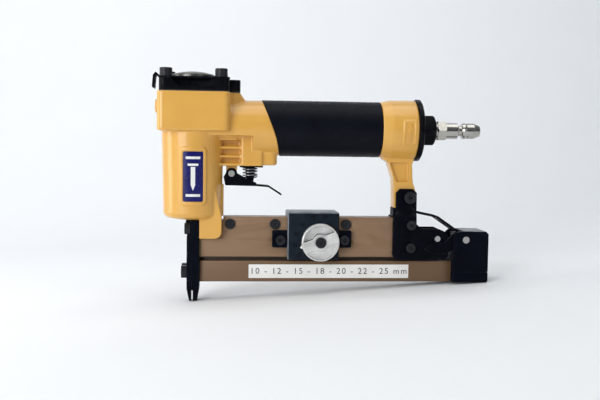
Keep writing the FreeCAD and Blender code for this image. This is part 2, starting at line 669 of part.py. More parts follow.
def nose_rear_plate():
    plate = nose_half(0.05, NOSE_REAR_X, 11.0)
    wide = nose_half(0.05, NOSE_REAR_X, CHEEK_Y[1]).common(box((-1, 8), (-20, 20), (47.8, 70)))
    face = NOSE_REAR_X
    taper = side_plate([(face, 9.5), (face + 1, 9.5), (face + 1, -1), (3.8, -1), (3.8, 0)], -20, 20)
    feed = box((0, 10), (-0.45, 0.45), FEED_Z)
    tools, line = nose_tools()
    scribe = line.cut(box((-1, NOSE_REAR_X - 0.4), (-10.6, 10.6), (10, 20)))
    tools += [taper, feed, scribe]
    tools += [rod(X_AXIS, (-10, s * 10.8, 55.0), 2.5, 20) for s in (-1, 1)]
    tools += [rod(X_AXIS, (-10, s * 6.2, LOWER_BOLT_Z), 2.0, 20) for s in (-1, 1)]
    return carve(join([plate, wide]), tools)


def nose_screws_upper():
    screw = socket_screw(2.45, 4.25, 4.2, 19)
    return group(aim(screw, (-1.2, s * 10.8, 55.0), V(-1, 0, 0)) for s in (-1, 1))


def nose_screws_lower():
    bolt = join([hexagon(Z_AXIS, (0, 0, 0), 8.8, 4.1), rod(Z_AXIS, (0, 0, -8.8), 1.95, 9)])
    return group(aim(bolt, (NOSE_FRONT_X, s * 6.2, LOWER_BOLT_Z), V(-1, 0, 0)) for s in (-1, 1))


# ---------------------------------------------------------------- magazine

def upper_rail():
    rail = box(UPPER_X, (-RAIL_HALF_Y, RAIL_HALF_Y), UPPER_Z)
    rail = bevel_edges(rail, 0.5, lambda e: runs_along(e, X_AXIS))
    tools = [
        box((0, 23), (-9, 9), (BARREL_FLOOR - 0.05, 70)),
        box((0, 22.0), (CHEEK_Y[0] - 0.05, 9), (47.6, 70)),
        box((0, 22.0), (-9, 0.05 - CHEEK_Y[0]), (47.6, 70)),
        box((0, 200), (-4.0, 4.0), (30, 37)),
        box((0, 200), (-5.25, 5.25), (35.6, 38.8)),
        box((0, 130), (-0.45, 0.45), (38, 60)),
        box((RACK_X - 3.3, RACK_X + 0.3), (-10, 0.45), (38, 60)),
    ]
    tools += [rod(Y_AXIS, (x, -10, RAIL_SCREW_Z), 2.05, 7.5) for x in RAIL_SCREWS_X]
    tools += [rod(Y_AXIS, (x, y, EAR_SCREW_Z), 2.05, 4.5) for x in EAR_SCREWS_X for y in (-9, 4.5)]
    tools += [rod(Y_AXIS, (x, -20, z), 2.05, 40) for x, z in SIDE_SCREWS]
    return carve(rail, tools)


def rail_screws():
    screw = socket_screw(2.0, 3.8, 1.5, 5.5)
    return group(aim(screw, (x, -RAIL_HALF_Y, RAIL_SCREW_Z), V(0, -1, 0)) for x in RAIL_SCREWS_X)


def lower_rail():
    rail = box(LOWER_X, (-RAIL_HALF_Y, RAIL_HALF_Y), LOWER_Z)
    rail = bevel_edges(rail, 0.5, lambda e: runs_along(e, X_AXIS))
    web = box(LOWER_X, (-3.7, 3.7), (LOWER_Z[1] - 1, WEB_TOP))
    runner = box((LOWER_X[0], 166.0), (-4.95, 4.95), (35.9, WEB_TOP))
    web = web.common(box((0, 166.0), (-10, 10), (0, 100)))
    tools = [
        rod(X_AXIS, (0, 0, SPRING_Z), 3.1, 220),
        box((0, 220), (-0.25, 0.25), (SPRING_Z, 27)),
        box((0, 220), (-0.45, 0.45), (PIN_FLOOR, 50)),
    ]
    return carve(join([rail, web, runner]), tools)


def pusher():
    x = (LOWER_X[0] + 0.6, LOWER_X[0] + 14.0)
    carriage = rod(X_AXIS, (x[0], 0, SPRING_Z), 2.95, x[1] - x[0])
    neck = box(x, (-0.18, 0.18), (SPRING_Z + 2, 26.5))
    blade = box(x, (-0.36, 0.36), (26.1, 35.6))
    ramp = side_plate([(x[1] - 5, 36), (x[1] + 1, 30), (x[1] + 1, 36)], -1, 1)
    return carve(join([carriage, neck, blade]), [ramp, rod(X_AXIS, (0, 0, SPRING_Z), 1.2, 40)])


def pusher_rod():
    return rod(X_AXIS, (LOWER_X[0], 0, SPRING_Z), 1.1, 202 - LOWER_X[0])


def pusher_spring():
    start = LOWER_X[0] + 14.3
    return coil_spring(X_AXIS, (start, 0, SPRING_Z), 2.1, 0.3, LOWER_X[1] - start - 0.1, 36)


def rail_label():
    return box((41.9, 162.3), (-RAIL_HALF_Y - 0.15, -RAIL_HALF_Y), (18.0, 28.2))


def pin_length_guide():
    """Thin rail over the pins, with the rack that the dial's pinion raises and lowers."""
    blade = box((7.0, 128.0), (-0.38, 0.38), (40.0, 47.2))
    back_x, root_x = RACK_X - 3.0, RACK_X - 1.05 * TOOTH_MODULE
    arm = box((back_x, root_x), (RACK_Y[0], 0.38), (40.2, 47.0))
    back = box((back_x, root_x), RACK_Y, RACK_Z)
    pitch = math.pi * TOOTH_MODULE
    half, slope = pitch / 4 - 0.06, math.tan(math.radians(20))
    tip, root = 0.62 * TOOTH_MODULE, RACK_X - root_x
    teeth = []
    for k in range(7):
        z = DIAL_XZ[1] + pitch * (k - 4.5)
        teeth.append(side_plate([(RACK_X + tip, z - half + tip * slope), (root_x, z - half - root * slope),
                                 (root_x, z + half + root * slope), (RACK_X + tip, z + half - tip * slope)],
                                *RACK_Y))
    rack = join([back] + teeth).common(box((RACK_X - 5, RACK_X + 5), (-20, 20), RACK_Z))
    return join([blade, arm, rack])


def dial_block():
    block = box(BLOCK_X, (-BLOCK_HALF_Y, BLOCK_HALF_Y), BLOCK_Z)
    block = bevel_edges(block, 0.8, lambda e: True)
    ears = [box(x, (8.05, 11.6), (41.3, 54.0)) for x in ((59.0, BLOCK_X[0] + 2), (BLOCK_X[1] - 2, 118.0))]
    ears = [round_edges(e, 1.2, lambda g: runs_along(g, Y_AXIS)) for e in ears]
    ears += [e.mirror(V(0, 0, 0), Y_AXIS) for e in ears]
    cx, cz = DIAL_XZ
    tools = [box((50, 130), (-8.05, 8.05), (30, UPPER_Z[1] + 0.05)), rod(Y_AXIS, (cx, -20, cz), 2.56, 14)]
    tools += [rod(Y_AXIS, (cx, -12.4, cz), PITCH_R + 1.4, 5),
              box((RACK_X - 3.4, cx - 2), (-12.4, -8), (32.8, 60.8))]
    tools += [rod(Y_AXIS, (x, -20, EAR_SCREW_Z), 2.05, 40) for x in EAR_SCREWS_X]
    return carve(join([block] + ears), tools)


def ear_screws():
    screw = socket_screw(2.0, 3.6, 3.0, 7.0)
    return group(aim(screw, (x, s * 11.6, EAR_SCREW_Z), V(0, s, 0)) for x in EAR_SCREWS_X for s in (-1, 1))


def dial_tilt(shape):
    """Turns dial features to the angle that the grip bar has at rest."""
    cx, cz = DIAL_XZ
    shape = shape.copy()
    shape.rotate(V(cx, 0, cz), Y_AXIS, -19)
    return shape


def dial():
    cx, cz = DIAL_XZ
    front = -BLOCK_HALF_Y - 0.1
    disc = rod(-Y_AXIS, (cx, front, cz), DIAL_R, DIAL_T)
    disc = bevel_edges(disc, 0.5, lambda e: e.BoundBox.YMax < front - DIAL_T + 0.1)
    sinks = []
    for side, left in zip((1, -1), DIAL_FLOORS):
        z = sorted((cz + side * 4.2, cz + side * 20))
        segment = dial_tilt(box((cx - 20, cx + 20), (front - DIAL_T - 1, front - left), z))
        sinks.append(segment.common(rod(-Y_AXIS, (cx, front, cz), DIAL_R - 1.4, 10)))
    boss = rod(-Y_AXIS, (cx, front, cz), 6.3, DIAL_T)
    pointer = side_plate([(cx - 13.3, cz - 2.0), (cx - POINTER_R, cz), (cx - 13.3, cz + 2.0)],
                         front - 2.4, front - 1.0)
    pointer.rotate(V(cx, 0, cz), Y_AXIS, -POINTER_DIP)
    return carve(join([carve(disc, sinks), boss, pointer]), [rod(Y_AXIS, (cx, -30, cz), 2.55, 20)])


def dial_shaft():
    cx, cz = DIAL_XZ
    shaft = rod(Y_AXIS, (cx, -17.0, cz), 2.5, 8.0)
    return join([shaft, gear(DIAL_XZ, PINION_TEETH, *RACK_Y)])


def dial_screw():
    cx, cz = DIAL_XZ
    screw = join([bevel_edges(rod(Z_AXIS, (0, 0, 0), 4.0, 2.2), 0.4, level_edges(2.2)),
                  rod(Z_AXIS, (0, 0, -0.55), 2.5, 0.6)])
    screw = carve(screw, [hexagon(Z_AXIS, (0, 0, 0.8), 3.6, 3)])
    return aim(screw, (cx, -BLOCK_HALF_Y - 0.1 - DIAL_T, cz), V(0, -1, 0))


# ---------------------------------------------------------------- rear bracket, latch and end block

def leg_spacer():
    return box((150.2, 166.4), (-LEG_HALF_Y, LEG_HALF_Y), (UPPER_Z[1], 71.0))


def rear_bracket():
    x0, x1 = 151.7, 167.5       # the tab that stands against the leg
    tab = side_plate([(x0, 66.5), (x0, 82.4), (x0 + 3, 85.4), (x1 - 3, 85.4), (x1, 82.4), (x1, 66.5)], *TAB_Y)
    step = outline([V(x0, TAB_Y[0], 68.0), V(x0, TAB_Y[1], 68.0), V(x0, SIDE_Y[1], 64.4),
                    V(x0, SIDE_Y[0], 63.4)], V(x1 - x0, 0, 0))
    plate = side_plate([
        (149.6, 64.4), (149.6, 36.0), (150.7, 33.6), (153.4, 32.2), (157.0, 31.8), (189.5, 31.8),
        (192.2, 34.4), (192.2, 47.5), (190.8, 51.2), (188.4, 53.9), (184.8, 55.4), (171.4, 55.4), (167.4, 59.2),
        (167.4, 64.4)], *SIDE_Y)
    side = join([tab, step, plate])
    tools = [rod(Y_AXIS, (LATCH_PIN[0], 0, LATCH_PIN[1]), LATCH_PIN_R, 20),
             rod(Y_AXIS, (LEG_SCREW[0], 0, LEG_SCREW[1]), 2.6, 20)]
    tools += [rod(Y_AXIS, (x, 0, z), 2.05, 20) for x, z in SIDE_SCREWS]
    return both_sides(carve(side, tools))


def leg_screws():
    screw = socket_screw(2.05, 4.5, 3.6, 8.3)
    return group(aim(screw, (LEG_SCREW[0], s * TAB_Y[1], LEG_SCREW[1]), V(0, s, 0)) for s in (-1, 1))


def bracket_screws():
    screw = socket_screw(2.0, 3.55, 2.6, 7.0)
    return group(aim(screw, (x, s * SIDE_Y[1], z), V(0, s, 0)) for x, z in SIDE_SCREWS for s in (-1, 1))


def latch_pin():
    return rod(Y_AXIS, (LATCH_PIN[0], -12.6, LATCH_PIN[1]), LATCH_PIN_R - 0.01, 25.2)


def latch_lever():
    px, pz = LATCH_PIVOT
    hook = join([
        side_plate([(173.6, 40.8), (176.5, 38.2), (180.0, 36.8), (185.0, 36.4), (190.0, 37.3), (196.0, 39.8),
                    (207.0, 43.2), (208.5, 50.0), (203.0, 53.2), (198.6, 54.6), (193.2, 50.0), (187.2, 44.4),
                    (185.2, 45.9), (181.0, 45.9)], *HOOK_Y),
        rod(Y_AXIS, (px, HOOK_Y[0], pz), 4.6, HOOK_Y[1] - HOOK_Y[0])])
    ramp = bent_strip([(198.2, 54.2), (183.0, 64.6)], LEVER_T, -HOOK_Y[1], HOOK_Y[1])
    window = bent_strip([(192.6, 58.0), (188.6, 60.8)], 5.0, -5.2, 5.2)
    tab = bent_strip([(183.0, 64.6), (168.9, 67.5)], LEVER_T, -6.2, 6.2)
    body = join([hook, hook.mirror(V(0, 0, 0), Y_AXIS), ramp, tab])
    return carve(body, [window, rod(Y_AXIS, (px, -20, pz), 2.6, 40)])


def latch_pivot():
    px, pz = LATCH_PIVOT
    return rod(Y_AXIS, (px, -END_HALF_Y - 0.2, pz), 2.53, 2 * END_HALF_Y + 0.4)


def latch_spring():
    return coil_spring(Z_AXIS, (198.6, 0, 41.0), 2.2, 0.35, 12.2, 6)


def end_block():
    px, pz = LATCH_PIVOT
    (x0, x1), (z0, z1) = END_X, END_Z
    block = side_plate([
        (x0, z0), (x0, 48.6), (x0 + 0.8, 51.2), (x0 + 2.6, 53.2), (x0 + 5.2, z1), (x1 - 2, z1), (x1, z1 - 2),
        (x1, z0 + 1), (x1 - 1, z0)], -END_HALF_Y, END_HALF_Y)
    slot = box((190, 211), (HOOK_Y[0] - 0.25, HOOK_Y[1] + 0.25), (34.0, 60))
    relief = side_plate([(190, 38), (203.0, 38), (203.0, 50.5), (196.0, 60), (190, 60)], -9.0, 9.0)
    roof = side_plate([(190, 47), (202.5, 47), (204.5, 60), (190, 60)], -HOOK_Y[1] - 0.25, HOOK_Y[1] + 0.25)
    spring_seat = rod(Z_AXIS, (198.6, 0, 37), 2.8, 4)
    seam = box((x0 - 1, x1 + 1), (-20, 20), (23.0, 23.5)).cut(
        box((x0 + 0.5, x1 - 0.5), (0.5 - END_HALF_Y, END_HALF_Y - 0.5), (20, 30)))
    tools = [slot, slot.mirror(V(0, 0, 0), Y_AXIS), relief, roof, seam,
             rod(X_AXIS, (190, 0, SPRING_Z), 1.15, 12.1), rod(Y_AXIS, (px, -20, pz), 2.55, 40)]
    return join([carve(block, tools), spring_seat])


NODES = {
    "body_casting": body_casting, "badge_plate": badge_plate, "cap_gasket": cap_gasket,
    "cylinder_cap": cylinder_cap, "exhaust_deflector": exhaust_deflector, "exhaust_dome": exhaust_dome,
    "cap_screws": cap_screws, "cap_washers": cap_washers, "head_valve": head_valve,
    "cylinder_sleeve": cylinder_sleeve, "sleeve_seals": sleeve_seals, "bumper": bumper,
    "piston": piston, "piston_ring": piston_ring, "driver_blade": driver_blade, "driver_pin": driver_pin,
    "head_valve_seal": head_valve_seal, "head_valve_spring": head_valve_spring,
    "trigger": trigger, "trigger_pin": trigger_pin, "valve_guide": valve_guide, "valve_stem": valve_stem,
    "stem_seal": stem_seal, "trigger_spring": trigger_spring,
    "grip_sleeve": grip_sleeve, "inlet_end_cap": inlet_end_cap, "end_cap_seal": end_cap_seal,
    "air_plug": air_plug,
    "nose_front_plate": nose_front_plate, "nose_rear_plate": nose_rear_plate,
    "nose_screws_upper": nose_screws_upper, "nose_screws_lower": nose_screws_lower,
    "upper_rail": upper_rail, "rail_screws": rail_screws, "lower_rail": lower_rail, "rail_label": rail_label,
    "pusher": pusher, "pusher_rod": pusher_rod, "pusher_spring": pusher_spring,
    "pin_length_guide": pin_length_guide, "dial_block": dial_block, "ear_screws": ear_screws,
    "dial": dial, "dial_shaft": dial_shaft, "dial_screw": dial_screw,
    "leg_spacer": leg_spacer, "rear_bracket": rear_bracket, "leg_screws": leg_screws,
    "bracket_screws": bracket_screws, "latch_pin": latch_pin, "latch_lever": latch_lever,
    "latch_pivot": latch_pivot, "latch_spring": latch_spring, "end_block": end_block,
}

os.makedirs("parts", exist_ok=True)
for name, make in NODES.items():
    shape = make()
    print(f"{name:20s} solids {len(shape.Solids)} volume {shape.Volume:9.1f} valid {shape.isValid()}")
    shape.exportStep(f"parts/{name}.step")
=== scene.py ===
import json
import math

import bmesh
import bpy
from mathutils import Matrix, Vector, noise

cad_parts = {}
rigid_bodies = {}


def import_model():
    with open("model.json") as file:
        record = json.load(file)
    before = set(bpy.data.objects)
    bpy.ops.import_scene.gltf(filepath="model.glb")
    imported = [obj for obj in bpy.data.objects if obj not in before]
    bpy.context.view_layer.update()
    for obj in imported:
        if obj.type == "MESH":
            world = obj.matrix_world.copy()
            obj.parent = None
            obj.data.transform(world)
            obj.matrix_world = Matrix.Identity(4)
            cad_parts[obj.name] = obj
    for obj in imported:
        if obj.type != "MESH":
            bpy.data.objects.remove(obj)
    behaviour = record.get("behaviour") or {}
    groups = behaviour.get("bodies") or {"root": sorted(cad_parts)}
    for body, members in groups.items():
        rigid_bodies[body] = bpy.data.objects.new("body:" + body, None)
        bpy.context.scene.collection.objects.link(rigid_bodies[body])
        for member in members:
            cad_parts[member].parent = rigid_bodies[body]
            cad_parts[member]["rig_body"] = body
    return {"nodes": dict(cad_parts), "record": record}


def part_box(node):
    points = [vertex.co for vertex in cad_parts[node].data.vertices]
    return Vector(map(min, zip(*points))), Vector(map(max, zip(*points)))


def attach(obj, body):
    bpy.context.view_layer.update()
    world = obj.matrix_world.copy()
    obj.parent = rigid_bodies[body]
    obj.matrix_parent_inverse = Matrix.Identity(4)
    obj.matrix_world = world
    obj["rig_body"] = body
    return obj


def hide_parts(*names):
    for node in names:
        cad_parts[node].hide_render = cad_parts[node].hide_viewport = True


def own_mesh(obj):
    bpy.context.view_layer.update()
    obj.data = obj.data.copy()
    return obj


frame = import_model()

MM = 0.001
X, Z = Vector((1, 0, 0)), Vector((0, 0, 1))
DIAL_CENTRE = (94.5, 45.6)                 # x and z of the dial's axis, in mm
HANDLE_Z = 129.3                           # height of the handle's axis
REAR_SKIN_R = 22.35                        # radius of the handle's round rear end
BARREL_FOOT, BARREL_HEIGHT = 66.0, 61.0    # the drafted stretch of the barrel
BARREL_R, BARREL_DRAFT = 21.5, 1.4         # its radius at the foot, and how much it grows by the top
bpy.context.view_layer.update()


def mm(*values):
    return Vector(values) * MM


# ---------------------------------------------------------------- camera, floor and light

CAMERA_AT = mm(23.7, -648.1, 120.1)
CAMERA_YAW, CAMERA_PITCH, CAMERA_ROLL = (math.radians(a) for a in (4.985, -3.89, 0.8))
CAMERA_LENS = 52.02
FLOOR_TILT = math.atan2(15.5, 222.0)       # the nailer stands on its nose tip and on the end of its magazine


def make_camera():
    camera = bpy.data.objects.new("camera", bpy.data.cameras.new("camera"))
    bpy.context.scene.collection.objects.link(camera)
    turn = (Matrix.Rotation(-CAMERA_YAW, 4, "Z") @ Matrix.Rotation(math.pi / 2 + CAMERA_PITCH, 4, "X")
            @ Matrix.Rotation(CAMERA_ROLL, 4, "Z"))
    camera.matrix_world = Matrix.Translation(CAMERA_AT) @ turn
    camera.data.sensor_width = 36.0
    camera.data.lens = CAMERA_LENS
    camera.data.clip_start = 0.01
    bpy.context.scene.camera = camera


def make_floor():
    """Pale floor that curves up into a wall behind the nailer, tilted to touch its two feet."""
    half_width, front, back, bend, height, steps = 3.0, -2.2, 0.75, 0.35, 2.2, 12
    profile = [(front, 0.0), (back - bend, 0.0)]
    for k in range(1, steps + 1):
        a = math.pi / 2 * k / steps
        profile.append((back - bend + bend * math.sin(a), bend - bend * math.cos(a)))
    profile.append((back, height))
    vertices, faces = [], []
    for y, z in profile:
        vertices += [(-half_width, y, z), (half_width, y, z)]
    for k in range(len(profile) - 1):
        faces.append((2 * k, 2 * k + 1, 2 * k + 3, 2 * k + 2))
    floor = mesh_object("floor", vertices, faces, floor_material())
    floor.rotation_euler = (0, -FLOOR_TILT, 0)
    floor.location = (0, 0, -0.0002)


def area_light(name, at, towards, size, watts, colour):
    data = bpy.data.lights.new(name, "AREA")
    data.shape = "RECTANGLE"
    data.size, data.size_y = size
    data.energy = watts
    data.color = colour
    light = bpy.data.objects.new(name, data)
    light.location = at
    light.rotation_euler = (Vector(towards) - Vector(at)).to_track_quat("-Z", "Y").to_euler()
    bpy.context.scene.collection.objects.link(light)


def make_lights():
    middle = (0.09, 0, 0.09)
    area_light("window", (-0.8, -1.0, 0.42), middle, (0.8, 0.8), 12.4, (0.96, 0.98, 1.0))
    area_light("ceiling", (0.1, -0.2, 1.3), middle, (1.2, 1.0), 6.4, (1.0, 0.99, 0.97))
    area_light("left_strip", (-0.75, 0.05, 0.30), (0.0, 0, 0.12), (0.25, 0.7), 2.6, (1.0, 0.99, 0.96))
    area_light("right_fill", (0.9, -0.9, 0.5), middle, (0.5, 0.5), 1.5, (1.0, 0.99, 0.97))
    area_light("wall_wash", (0.1, 0.2, 1.1), (0.1, 0.8, 0.25), (1.8, 0.5), 2.3, (0.88, 0.94, 1.0))
    world = bpy.data.worlds.new("studio")
    world.use_nodes = True
    tree = world.node_tree
    background = tree.nodes["Background"]
    background.inputs["Color"].default_value = (0.90, 0.95, 1.0, 1)
    direction = tree.nodes.new("ShaderNodeTexCoord")
    split = tree.nodes.new("ShaderNodeSeparateXYZ")
    ramp = tree.nodes.new("ShaderNodeMapRange")         # a dim room that grows brighter towards its ceiling
    ramp.inputs["From Min"].default_value, ramp.inputs["From Max"].default_value = 0.05, 0.75
    ramp.inputs["To Min"].default_value, ramp.inputs["To Max"].default_value = 0.05, 0.22
    tree.links.new(direction.outputs["Generated"], split.inputs["Vector"])
    tree.links.new(split.outputs["Z"], ramp.inputs["Value"])
    tree.links.new(ramp.outputs["Result"], background.inputs["Strength"])
    bpy.context.scene.world = world
    bpy.context.scene.view_settings.view_transform = "Standard"


# ---------------------------------------------------------------- material nodes

class Finish:
    """A material under construction: a Principled shader and short calls for the nodes that feed it."""

    def __init__(self, name, colour, roughness, metallic=0.0, **sockets):
        self.material = bpy.data.materials.new(name)
        self.material.use_nodes = True
        self.tree = self.material.node_tree
        self.shader = self.tree.nodes["Principled BSDF"]
        self.shader.inputs["Base Color"].default_value = (*colour, 1)
        self.shader.inputs["Roughness"].default_value = roughness
        self.shader.inputs["Metallic"].default_value = metallic
        for socket, value in sockets.items():
            self.shader.inputs[socket.replace("_", " ")].default_value = value
        self.place = self.add("ShaderNodeTexCoord").outputs["Object"]
        self.height = None

    def add(self, kind, **settings):
        node = self.tree.nodes.new(kind)
        for key, value in settings.items():
            setattr(node, key, value)
        return node

    def feed(self, socket, value):
        if hasattr(value, "is_linked"):
            self.tree.links.new(value, socket)
        else:
            socket.default_value = value

    def stretched(self, scale):
        node = self.add("ShaderNodeMapping")
        self.feed(node.inputs["Vector"], self.place)
        node.inputs["Scale"].default_value = scale
        return node.outputs["Vector"]

    def noise(self, size_mm, detail=3.0, roughness=0.5, stretch=None):
        """Noise whose lumps are about size_mm across. Stretch gives a scale for each axis."""
        node = self.add("ShaderNodeTexNoise")
        self.feed(node.inputs["Vector"], self.stretched(stretch) if stretch else self.place)
        node.inputs["Scale"].default_value = 1000 / size_mm
        node.inputs["Detail"].default_value = detail
        node.inputs["Roughness"].default_value = roughness
        return node.outputs["Fac"]

    def cells(self, size_mm):
        node = self.add("ShaderNodeTexVoronoi")
        self.feed(node.inputs["Vector"], self.place)
        node.inputs["Scale"].default_value = 1000 / size_mm
        return node.outputs["Distance"]

    def band(self, value, low, high, to=(0.0, 1.0)):
        """Maps value from low..high to the two ends of to."""
        node = self.add("ShaderNodeMapRange")
        self.feed(node.inputs["Value"], value)
        node.inputs["From Min"].default_value = low
        node.inputs["From Max"].default_value = high
        node.inputs["To Min"].default_value, node.inputs["To Max"].default_value = to
        return node.outputs["Result"]

    def maths(self, operation, a, b):
        node = self.add("ShaderNodeMath", operation=operation)
        self.feed(node.inputs[0], a)
        self.feed(node.inputs[1], b)
        return node.outputs[0]

    def blend(self, factor, a, b):
        node = self.add("ShaderNodeMix", data_type="RGBA")
        self.feed(node.inputs["Factor"], factor)
        self.feed(node.inputs["A"], a if hasattr(a, "is_linked") else (*a, 1))
        self.feed(node.inputs["B"], b if hasattr(b, "is_linked") else (*b, 1))
        return node.outputs["Result"]

    def edges(self, radius_mm):
        """1 along the edges of the shape, 0 on its faces."""
        bevel = self.add("ShaderNodeBevel", samples=4)
        bevel.inputs["Radius"].default_value = radius_mm * MM
        geometry = self.add("ShaderNodeNewGeometry")
        dot = self.add("ShaderNodeVectorMath", operation="DOT_PRODUCT")
        self.feed(dot.inputs[0], bevel.outputs["Normal"])
        self.feed(dot.inputs[1], geometry.outputs["True Normal"])
        return self.band(self.maths("SUBTRACT", 1.0, dot.outputs["Value"]), 0.02, 0.35)

    def colour(self, value):
        self.feed(self.shader.inputs["Base Color"], value)

    def roughness(self, value):
        self.feed(self.shader.inputs["Roughness"], value)

    def relief(self, value, depth_mm, radius_mm=0.0):
        """Bump of depth_mm. With a radius, the shape's sharp edges look rounded as well."""
        bump = self.add("ShaderNodeBump")
        bump.inputs["Strength"].default_value = 1.0
        bump.inputs["Distance"].default_value = depth_mm * MM
        self.feed(bump.inputs["Height"], value)
        if self.height is not None:
            self.feed(bump.inputs["Normal"], self.height)
        elif radius_mm:
            bevel = self.add("ShaderNodeBevel", samples=6)
            bevel.inputs["Radius"].default_value = radius_mm * MM
            self.feed(bump.inputs["Normal"], bevel.outputs["Normal"])
        self.height = bump.outputs["Normal"]
        self.feed(self.shader.inputs["Normal"], self.height)


def floor_material():
    f = Finish("floor_paper", (0.86, 0.87, 0.89), 0.9)
    f.colour(f.blend(f.noise(90, 4), (0.84, 0.86, 0.885), (0.875, 0.885, 0.90)))
    return f.material


def yellow_enamel():
    f = Finish("yellow_enamel", (0.68, 0.36, 0.065), 0.34, Coat_Weight=0.4, Coat_Roughness=0.14)
    tone = f.blend(f.band(f.noise(26, 3), 0.3, 0.7), (0.66, 0.345, 0.060), (0.71, 0.385, 0.074))
    dust = f.band(f.noise(5, 5, 0.65), 0.6, 0.8, (0.0, 0.10))
    tone = f.blend(dust, tone, (0.52, 0.34, 0.15))
    rub = f.maths("MULTIPLY", f.edges(0.7), f.band(f.noise(3.5, 4), 0.48, 0.66, (0.0, 0.75)))
    f.colour(f.blend(rub, tone, (0.80, 0.53, 0.20)))
    f.roughness(f.band(f.noise(8, 4), 0.3, 0.7, (0.29, 0.42)))
    f.relief(f.noise(1.6, 2, 0.4), 0.035, 0.5)
    f.relief(f.noise(14, 2), 0.05)
    return f.material


def black_oxide(name="black_oxide", base=(0.0014, 0.0022, 0.0052), worn=(0.13, 0.145, 0.17), wear=0.5,
                roughness=0.40, shine=0.045):
    """Blued steel: nearly black with a cold tint, rubbed bright on its edges, with fine scratches."""
    f = Finish(name, base, roughness, 0.0, Specular_IOR_Level=shine)
    cloud = f.band(f.noise(9, 4), 0.3, 0.7)
    tone = f.blend(cloud, base, tuple(c * 1.7 for c in base))
    scratch = f.band(f.noise(1.1, 4, 0.7, (0.12, 1, 1)), 0.66, 0.8, (0.0, 0.35))
    tone = f.blend(scratch, tone, tuple(c * 0.35 for c in worn))
    rub = f.maths("MULTIPLY", f.edges(0.22), f.band(f.noise(2.4, 4, 0.6), 0.40, 0.64, (0.0, wear)))
    f.colour(f.blend(rub, tone, worn))
    f.roughness(f.band(f.noise(3, 5, 0.6), 0.3, 0.7, (roughness - 0.07, roughness + 0.12)))
    f.relief(f.noise(0.45, 3, 0.6), 0.010, 0.18)
    return f.material


def black_gloss():
    """Black paint on the cylinder cap."""
    f = Finish("black_gloss", (0.0025, 0.0025, 0.0045), 0.26, 0.0, Specular_IOR_Level=0.07)
    rub = f.maths("MULTIPLY", f.edges(0.35), f.band(f.noise(3, 4), 0.42, 0.62, (0.0, 0.35)))
    f.colour(f.blend(rub, f.blend(f.noise(12, 3), (0.0020, 0.0020, 0.0036), (0.0045, 0.0048, 0.0072)),
                     (0.09, 0.10, 0.12)))
    f.roughness(f.band(f.noise(4, 4), 0.3, 0.7, (0.2, 0.36)))
    f.relief(f.noise(1.3, 3), 0.02, 0.4)
    return f.material


def sheet_black():
    """Satin black on the thin pressed parts."""
    return black_oxide("sheet_black", (0.0014, 0.0018, 0.0040), (0.26, 0.28, 0.32), 0.75, 0.42)


def screw_black():
    """Blackened screws, a little greyer than the plates that they hold and rubbed bright on the rims: partly
    real wear, partly a painted highlight on the head rims.
    """
    return black_oxide("screw_black", (0.010, 0.011, 0.014), (0.20, 0.21, 0.23), 0.8, 0.36, 0.2)


def block_painted_highlight():
    """Grey painted highlight for the upward faces of the blocks and the dial block's face towards the nose,
    with dark flecks of dirt.
    """
    f = Finish("block_painted_highlight", (0.20, 0.22, 0.25), 0.40, 0.5)
    tone = f.blend(f.band(f.noise(7, 4), 0.3, 0.7), (0.14, 0.155, 0.18), (0.27, 0.29, 0.32))
    f.colour(f.blend(f.band(f.noise(2.5, 5, 0.7), 0.6, 0.75, (0.0, 0.6)), tone, (0.08, 0.09, 0.11)))
    f.roughness(f.band(f.noise(1.5, 4), 0.3, 0.7, (0.32, 0.5)))
    f.relief(f.noise(0.35, 3, 0.7), 0.02, 0.25)
    return f.material


def block_black():
    """Sand-blasted blue-black block that carries the dial."""
    f = Finish("block_black", (0.006, 0.010, 0.017), 0.45, 0.0, Specular_IOR_Level=0.12)
    tone = f.blend(f.band(f.noise(6, 4), 0.3, 0.7), (0.0045, 0.0085, 0.0145), (0.0090, 0.0145, 0.0220))
    rub = f.maths("MULTIPLY", f.edges(0.35), f.band(f.noise(3, 4), 0.4, 0.62, (0.1, 0.8)))
    f.colour(f.blend(rub, tone, (0.20, 0.23, 0.27)))
    f.roughness(f.band(f.noise(1.2, 4), 0.3, 0.7, (0.48, 0.64)))
    f.relief(f.noise(0.35, 3, 0.7), 0.03, 0.25)
    return f.material


def brass_wear():
    """Yellow passivation left on the dial's rim."""
    return bright_metal("brass_wear", (0.50, 0.33, 0.10), 0.36)


def brown_anodised(name="brown_anodised", base=(0.262, 0.162, 0.094)):
    """Smooth brown anodising with faint extrusion lines, paler where it is rubbed."""
    f = Finish(name, base, 0.40, 0.25, Specular_IOR_Level=0.4)
    lines = f.noise(1.1, 3, 0.5, (0.006, 1, 1))
    cloud = f.band(f.noise(60, 2), 0.3, 0.7)
    tone = f.blend(cloud, tuple(c * 0.92 for c in base), tuple(c * 1.08 for c in base))
    tone = f.blend(f.band(lines, 0.35, 0.75, (0.0, 0.22)), tone, tuple(c * 0.74 for c in base))
    rub = f.maths("MULTIPLY", f.edges(0.3), f.band(f.noise(6, 4), 0.45, 0.65, (0.1, 0.6)))
    tone = f.blend(rub, tone, (0.44, 0.35, 0.27))
    nick = f.band(f.noise(1.5, 5, 0.7), 0.72, 0.80, (0.0, 0.4))
    f.colour(f.blend(nick, tone, (0.12, 0.080, 0.050)))
    f.roughness(f.band(f.noise(9, 4), 0.3, 0.7, (0.34, 0.46)))
    f.relief(lines, 0.004, 0.25)
    return f.material


